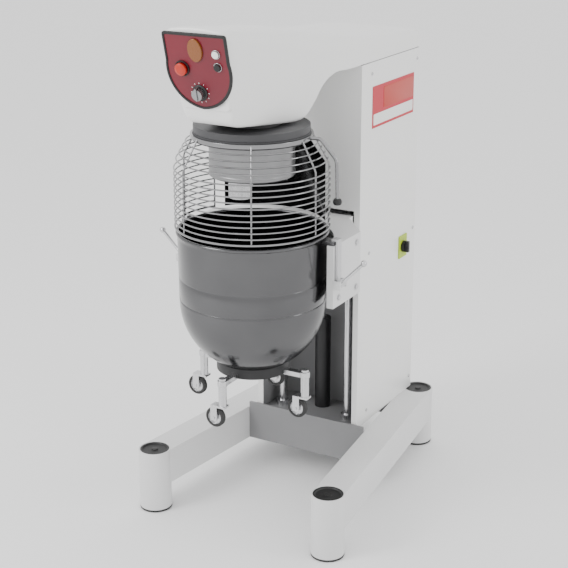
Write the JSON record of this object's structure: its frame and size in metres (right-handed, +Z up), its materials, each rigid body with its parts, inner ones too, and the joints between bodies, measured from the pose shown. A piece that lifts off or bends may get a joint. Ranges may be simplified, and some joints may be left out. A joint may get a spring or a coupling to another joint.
{
  "type": "stand mixer",
  "caption": "Floor-standing planetary mixer with a deep steel bowl on a lifting yoke, a swinging wire guard, a slanted control panel and splayed legs.",
  "frame": {"origin": "on the floor, at the centre of the footprint box", "axes": "+Z up, +Y to the back, -Y is the side that the control panel faces, +X is on the right for somebody who faces the panel"},
  "size_m": [0.826, 1.2837, 1.8],
  "materials": {
    "plate_grey": "satin",
    "shield_steel": "polished",
    "body_paint": "semi-gloss",
    "frame_paint": "semi-gloss",
    "dark_paint": "satin",
    "cast_metal": "machined",
    "black_plastic": "moulded",
    "rubber": "matte",
    "bright_steel": "ground",
    "dark_steel": "satin",
    "bowl_steel": "brushed",
    "wire_steel": "polished",
    "fork_steel": "zinc plated",
    "drum_metal": "satin",
    "panel_red": "gloss",
    "badge_amber": "gloss",
    "side_red": "printed film",
    "button_red": "gloss",
    "button_white": "gloss",
    "knob_grey": "turned",
    "plate_yellow": "gloss"
  },
  "bodies": {
    "root": {"hood": "body_paint", "front_cover": "body_paint", "side_panel_left": "body_paint", "side_panel_right": "body_paint", "rear_panel": "body_paint", "leg_left": "frame_paint", "leg_right": "frame_paint", "foot_posts": "frame_paint", "front_cross_plate": "plate_grey", "rear_cross_plate": "plate_grey", "column_base": "plate_grey", "column_liner": "plate_grey", "motor": "dark_paint", "neck_housing": "dark_paint", "guard_track": "dark_paint", "head_frame": "cast_metal", "ring_gear": "cast_metal", "post_caps": "black_plastic", "control_bezel": "black_plastic", "cable_gland": "black_plastic", "levelling_feet": "rubber", "drive_belt": "rubber", "guide_rods": "bright_steel", "main_bearings": "bright_steel", "cover_screws": "bright_steel", "lift_cylinder": "dark_steel", "rear_shield": "shield_steel", "control_face": "panel_red", "panel_badge": "badge_amber", "side_badge": "side_red", "isolator_plate": "plate_yellow"},
    "lift": {"carriage": "frame_paint", "lift_rod": "bright_steel"},
    "clamp_right": {"clamp_right": "bright_steel"},
    "clamp_left": {"clamp_left": "bright_steel"},
    "bowl": {"bowl_shell": "bowl_steel", "bowl_lugs": "bowl_steel", "bowl_base": "dark_steel"},
    "guard": {"guard_cage": "wire_steel", "guard_handle": "wire_steel", "guard_knob": "black_plastic"},
    "planetary": {"planet_drum": "drum_metal", "main_shaft": "bright_steel", "driven_pulley": "drum_metal"},
    "tool": {"tool_shaft": "bright_steel", "planet_pinion": "bright_steel"},
    "motor_rotor": {"motor_pulley": "drum_metal"},
    "estop": {"estop_button": "button_red"},
    "start": {"start_button": "button_white"},
    "stop": {"stop_button": "black_plastic"},
    "timer": {"timer_knob": "knob_grey"},
    "isolator": {"isolator_knob": "black_plastic"},
    "caster_1": {"caster_fork_1": "fork_steel"},
    "wheel_1": {"caster_wheel_1": "rubber"},
    "caster_2": {"caster_fork_2": "fork_steel"},
    "wheel_2": {"caster_wheel_2": "rubber"},
    "caster_3": {"caster_fork_3": "fork_steel"},
    "wheel_3": {"caster_wheel_3": "rubber"},
    "caster_4": {"caster_fork_4": "fork_steel"},
    "wheel_4": {"caster_wheel_4": "rubber"}
  },
  "joints": [
    {"name": "bowl_lift", "type": "slide", "parent": "root", "child": "lift", "axis": [0, 0, -1], "range_m": [0, 0.425]},
    {"name": "bowl_release", "type": "slide", "parent": "lift", "child": "bowl", "axis": [0, -1, 0], "range_m": [0, 0.25]},
    {"name": "clamp_right_swing", "type": "hinge", "parent": "lift", "child": "clamp_right", "pos_m": [0.315, -0.2487, 0.925], "axis": [0, 1, 0], "range_deg": [0, 55]},
    {"name": "clamp_left_swing", "type": "hinge", "parent": "lift", "child": "clamp_left", "pos_m": [-0.315, -0.2487, 0.925], "axis": [0, -1, 0], "range_deg": [0, 55]},
    {"name": "caster_swivel_1", "type": "hinge", "parent": "bowl", "child": "caster_1", "pos_m": [0.205, -0.2927, 0.593], "axis": [0, 0, 1], "continuous": true},
    {"name": "wheel_spin_1", "type": "hinge", "parent": "caster_1", "child": "wheel_1", "pos_m": [0.177, -0.2927, 0.466], "axis": [0, 1, 0], "continuous": true},
    {"name": "caster_swivel_2", "type": "hinge", "parent": "bowl", "child": "caster_2", "pos_m": [0, -0.0877, 0.593], "axis": [0, 0, 1], "continuous": true},
    {"name": "wheel_spin_2", "type": "hinge", "parent": "caster_2", "child": "wheel_2", "pos_m": [-0.028, -0.0877, 0.466], "axis": [0, 1, 0], "continuous": true},
    {"name": "caster_swivel_3", "type": "hinge", "parent": "bowl", "child": "caster_3", "pos_m": [-0.205, -0.2927, 0.593], "axis": [0, 0, 1], "continuous": true},
    {"name": "wheel_spin_3", "type": "hinge", "parent": "caster_3", "child": "wheel_3", "pos_m": [-0.233, -0.2927, 0.466], "axis": [0, 1, 0], "continuous": true},
    {"name": "caster_swivel_4", "type": "hinge", "parent": "bowl", "child": "caster_4", "pos_m": [0, -0.4977, 0.593], "axis": [0, 0, 1], "continuous": true},
    {"name": "wheel_spin_4", "type": "hinge", "parent": "caster_4", "child": "wheel_4", "pos_m": [-0.028, -0.4977, 0.466], "axis": [0, 1, 0], "continuous": true},
    {"name": "guard_swing", "type": "hinge", "parent": "root", "child": "guard", "pos_m": [0, -0.2927, 1.41], "axis": [0, 0, 1], "range_deg": [0, 125]},
    {"name": "planetary_spin", "type": "hinge", "parent": "root", "child": "planetary", "pos_m": [0, -0.2927, 1.4], "axis": [0, 0, 1], "continuous": true},
    {"name": "tool_spin", "type": "hinge", "parent": "planetary", "child": "tool", "pos_m": [0, -0.3677, 1.33], "axis": [0, 0, 1], "continuous": true},
    {"name": "motor_spin", "type": "hinge", "parent": "root", "child": "motor_rotor", "pos_m": [0, 0.3183, 1.63], "axis": [0, 0, 1], "continuous": true},
    {"name": "estop_press", "type": "slide", "parent": "root", "child": "estop", "axis": [0, 0.9701, 0.2425], "range_m": [0, 0.006], "stiffness_N_per_m": 900},
    {"name": "start_press", "type": "slide", "parent": "root", "child": "start", "axis": [0, 0.9701, 0.2425], "range_m": [0, 0.004], "stiffness_N_per_m": 600},
    {"name": "stop_press", "type": "slide", "parent": "root", "child": "stop", "axis": [0, 0.9701, 0.2425], "range_m": [0, 0.004], "stiffness_N_per_m": 600},
    {"name": "timer_turn", "type": "hinge", "parent": "root", "child": "timer", "pos_m": [-0.006, -0.58674, 1.60015], "axis": [0, -0.9701, -0.2425], "range_deg": [0, 300]},
    {"name": "isolator_turn", "type": "hinge", "parent": "root", "child": "isolator", "pos_m": [0.229, 0.4683, 0.85], "axis": [1, 0, 0], "range_deg": [0, 90]}
  ],
  "couplings": [
    {"joint": "tool_spin", "follows": "planetary_spin", "ratio": -3},
    {"joint": "motor_spin", "follows": "planetary_spin", "ratio": 2.5}
  ]
}
